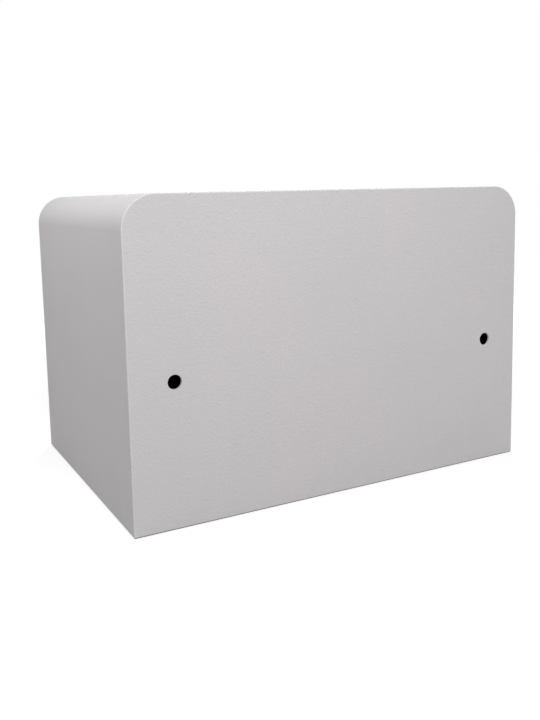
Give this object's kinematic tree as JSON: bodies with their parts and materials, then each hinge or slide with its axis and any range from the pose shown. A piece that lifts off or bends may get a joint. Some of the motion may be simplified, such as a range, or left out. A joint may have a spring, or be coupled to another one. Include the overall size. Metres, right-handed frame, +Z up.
{
  "type": "furniture safe",
  "caption": "Small steel furniture safe with rounded top corners, rear anchor holes, an inset door with keypad lock, override key lock, knob and round bolts.",
  "frame": {"origin": "on the floor, under the middle of the casing (the knob and the lock panel stand out further in front)", "axes": "+X to the right as seen from the front, +Y from the front to the back, +Z up"},
  "size_m": [0.375, 0.279, 0.25],
  "materials": {
    "casing_paint": "textured light grey powder coat",
    "zinc_plate": "bright zinc plating, satin",
    "bright_steel": "turned steel, satin",
    "bolt_nickel": "nickel plated, polished with fine turning marks",
    "knob_metal": "satin chrome",
    "plug_brass": "satin brass",
    "contact_gold": "gilt, polished",
    "clip_black": "phosphated spring steel",
    "panel_plastic": "fine-textured moulded plastic",
    "tray_plastic": "fine-textured moulded plastic",
    "key_plastic": "light grey moulded keys with dark digits",
    "key_rubber": "soft silicone",
    "lead_rubber": "black insulation",
    "board_laminate": "green solder mask",
    "board_parts_plastic": "moulded sockets, relay and chip",
    "coil_tape": "varnished winding under tape",
    "cell_sleeve": "plain printed sleeve, no lettering",
    "reset_red": "red moulded button",
    "led_lens": "clear tinted lens",
    "felt": "dark grey needle felt"
  },
  "bodies": {
    "casing": {"body_shell": "casing_paint", "back_panel": "casing_paint", "base_panel": "casing_paint", "front_frame": "casing_paint", "strike_angle": "casing_paint", "jamb_strips": "casing_paint", "hinge_brackets": "zinc_plate", "thrust_washer": "bright_steel", "floor_mat": "felt"},
    "door": {"door_plate": "casing_paint", "hinge_blocks": "casing_paint", "hinge_pins": "bright_steel", "bolt_guide": "zinc_plate", "lock_cover": "casing_paint", "cover_screws": "bright_steel", "weld_studs": "bright_steel", "slide_studs": "bright_steel", "stud_clips": "clip_black", "solenoid_frame": "zinc_plate", "solenoid_coil": "coil_tape", "plunger_spring": "bright_steel", "control_board": "board_laminate", "board_parts": "board_parts_plastic", "battery_tray": "tray_plastic", "battery_cells": "cell_sleeve", "battery_contacts": "bright_steel", "wire_loom": "lead_rubber", "knob_bush": "knob_metal", "keypad_housing": "panel_plastic", "housing_screws": "bright_steel", "key_mat": "key_rubber", "keypad_board": "board_laminate", "status_leds": "led_lens", "power_contacts": "contact_gold", "lock_barrel": "knob_metal", "panel_nuts": "zinc_plate"},
    "knob_set": {"knob": "knob_metal", "knob_spindle": "bright_steel", "cam_plate": "zinc_plate"},
    "bolt_set": {"bolt_carrier": "zinc_plate", "locking_bolts": "bolt_nickel", "bolt_screws": "bright_steel"},
    "plunger": {"solenoid_plunger": "bright_steel"},
    "override": {"lock_plug": "plug_brass", "cam_lever": "zinc_plate"},
    "lock_cap": {"lock_cap": "panel_plastic"},
    "battery_lid": {"battery_lid": "tray_plastic"},
    "reset_button": {"reset_button": "reset_red"},
    "key_1": {"key_1": "key_plastic"},
    "key_2": {"key_2": "key_plastic"},
    "key_3": {"key_3": "key_plastic"},
    "key_4": {"key_4": "key_plastic"},
    "key_5": {"key_5": "key_plastic"},
    "key_6": {"key_6": "key_plastic"},
    "key_7": {"key_7": "key_plastic"},
    "key_8": {"key_8": "key_plastic"},
    "key_9": {"key_9": "key_plastic"},
    "key_star": {"key_star": "key_plastic"},
    "key_0": {"key_0": "key_plastic"},
    "key_hash": {"key_hash": "key_plastic"}
  },
  "joints": [
    {"name": "door_swing", "type": "hinge", "parent": "casing", "child": "door", "pos_m": [0.1505, -0.119, 0.125], "axis": [0, 0, 1], "range_deg": [0, 110]},
    {"name": "knob_turn", "type": "hinge", "parent": "door", "child": "knob_set", "pos_m": [-0.092, -0.13, 0.125], "axis": [0, -1, 0], "range_deg": [0, 90]},
    {"name": "bolt_slide", "type": "slide", "parent": "door", "child": "bolt_set", "axis": [-1, 0, 0], "range_m": [0, 0.017]},
    {"name": "plunger_slide", "type": "slide", "parent": "door", "child": "plunger", "axis": [0, 0, 1], "range_m": [-0.005, 0], "stiffness_N_per_m": 150, "springref_m": -0.01, "deforming": ["plunger_spring"]},
    {"name": "override_turn", "type": "hinge", "parent": "door", "child": "override", "pos_m": [-0.008, -0.13, 0.1639], "axis": [0, 1, 0], "range_deg": [0, 90]},
    {"name": "cap_swing", "type": "hinge", "parent": "door", "child": "lock_cap", "pos_m": [-0.008, -0.1385, 0.1802], "axis": [0, -1, 0], "range_deg": [0, 90]},
    {"name": "battery_lid_slide", "type": "slide", "parent": "door", "child": "battery_lid", "axis": [-1, 0, 0], "range_m": [0, 0.056]},
    {"name": "reset_press", "type": "slide", "parent": "door", "child": "reset_button", "axis": [0, -1, 0], "range_m": [0, 0.0015], "stiffness_N_per_m": 400, "springref_m": -0.0005},
    {"name": "key_1_press", "type": "slide", "parent": "door", "child": "key_1", "axis": [0, 1, 0], "range_m": [0, 0.0012], "stiffness_N_per_m": 400, "springref_m": -0.0005},
    {"name": "key_2_press", "type": "slide", "parent": "door", "child": "key_2", "axis": [0, 1, 0], "range_m": [0, 0.0012], "stiffness_N_per_m": 400, "springref_m": -0.0005},
    {"name": "key_3_press", "type": "slide", "parent": "door", "child": "key_3", "axis": [0, 1, 0], "range_m": [0, 0.0012], "stiffness_N_per_m": 400, "springref_m": -0.0005},
    {"name": "key_4_press", "type": "slide", "parent": "door", "child": "key_4", "axis": [0, 1, 0], "range_m": [0, 0.0012], "stiffness_N_per_m": 400, "springref_m": -0.0005},
    {"name": "key_5_press", "type": "slide", "parent": "door", "child": "key_5", "axis": [0, 1, 0], "range_m": [0, 0.0012], "stiffness_N_per_m": 400, "springref_m": -0.0005},
    {"name": "key_6_press", "type": "slide", "parent": "door", "child": "key_6", "axis": [0, 1, 0], "range_m": [0, 0.0012], "stiffness_N_per_m": 400, "springref_m": -0.0005},
    {"name": "key_7_press", "type": "slide", "parent": "door", "child": "key_7", "axis": [0, 1, 0], "range_m": [0, 0.0012], "stiffness_N_per_m": 400, "springref_m": -0.0005},
    {"name": "key_8_press", "type": "slide", "parent": "door", "child": "key_8", "axis": [0, 1, 0], "range_m": [0, 0.0012], "stiffness_N_per_m": 400, "springref_m": -0.0005},
    {"name": "key_9_press", "type": "slide", "parent": "door", "child": "key_9", "axis": [0, 1, 0], "range_m": [0, 0.0012], "stiffness_N_per_m": 400, "springref_m": -0.0005},
    {"name": "key_star_press", "type": "slide", "parent": "door", "child": "key_star", "axis": [0, 1, 0], "range_m": [0, 0.0012], "stiffness_N_per_m": 400, "springref_m": -0.0005},
    {"name": "key_0_press", "type": "slide", "parent": "door", "child": "key_0", "axis": [0, 1, 0], "range_m": [0, 0.0012], "stiffness_N_per_m": 400, "springref_m": -0.0005},
    {"name": "key_hash_press", "type": "slide", "parent": "door", "child": "key_hash", "axis": [0, 1, 0], "range_m": [0, 0.0012], "stiffness_N_per_m": 400, "springref_m": -0.0005}
  ],
  "couplings": [
    {"joint": "bolt_slide", "follows": "knob_turn", "m_per_rad": 0.010823}
  ]
}
